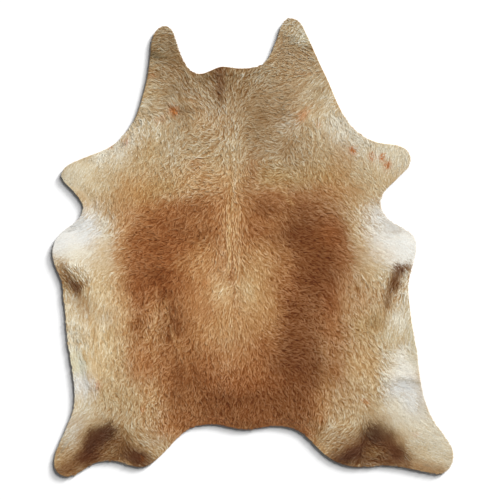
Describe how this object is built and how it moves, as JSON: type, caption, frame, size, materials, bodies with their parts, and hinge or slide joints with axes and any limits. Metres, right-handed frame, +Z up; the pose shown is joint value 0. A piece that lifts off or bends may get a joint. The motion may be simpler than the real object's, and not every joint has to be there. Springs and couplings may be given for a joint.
{
  "type": "cowhide rug",
  "caption": "Whole cowhide with its hair on, lying flat hair side up, its cut edge running out into neck flaps, forelegs, belly corners, tail root and hind legs.",
  "frame": {"origin": "on the floor under the middle of the hide's box", "axes": "+Y towards the neck along the spine, +X to the right in the picture, +Z up out of the hair side"},
  "size_m": [1.84, 2.107, 0.0137],
  "materials": {
    "coat": "short close cattle hair in small wavy locks, red-brown saddles beside a golden spine, fading to beige and cream at the edges",
    "leather": "pale tanned skin, smooth at the cut edge and napped like suede on its flesh side"
  },
  "bodies": {
    "root": {"hide": "coat"}
  },
  "joints": []
}
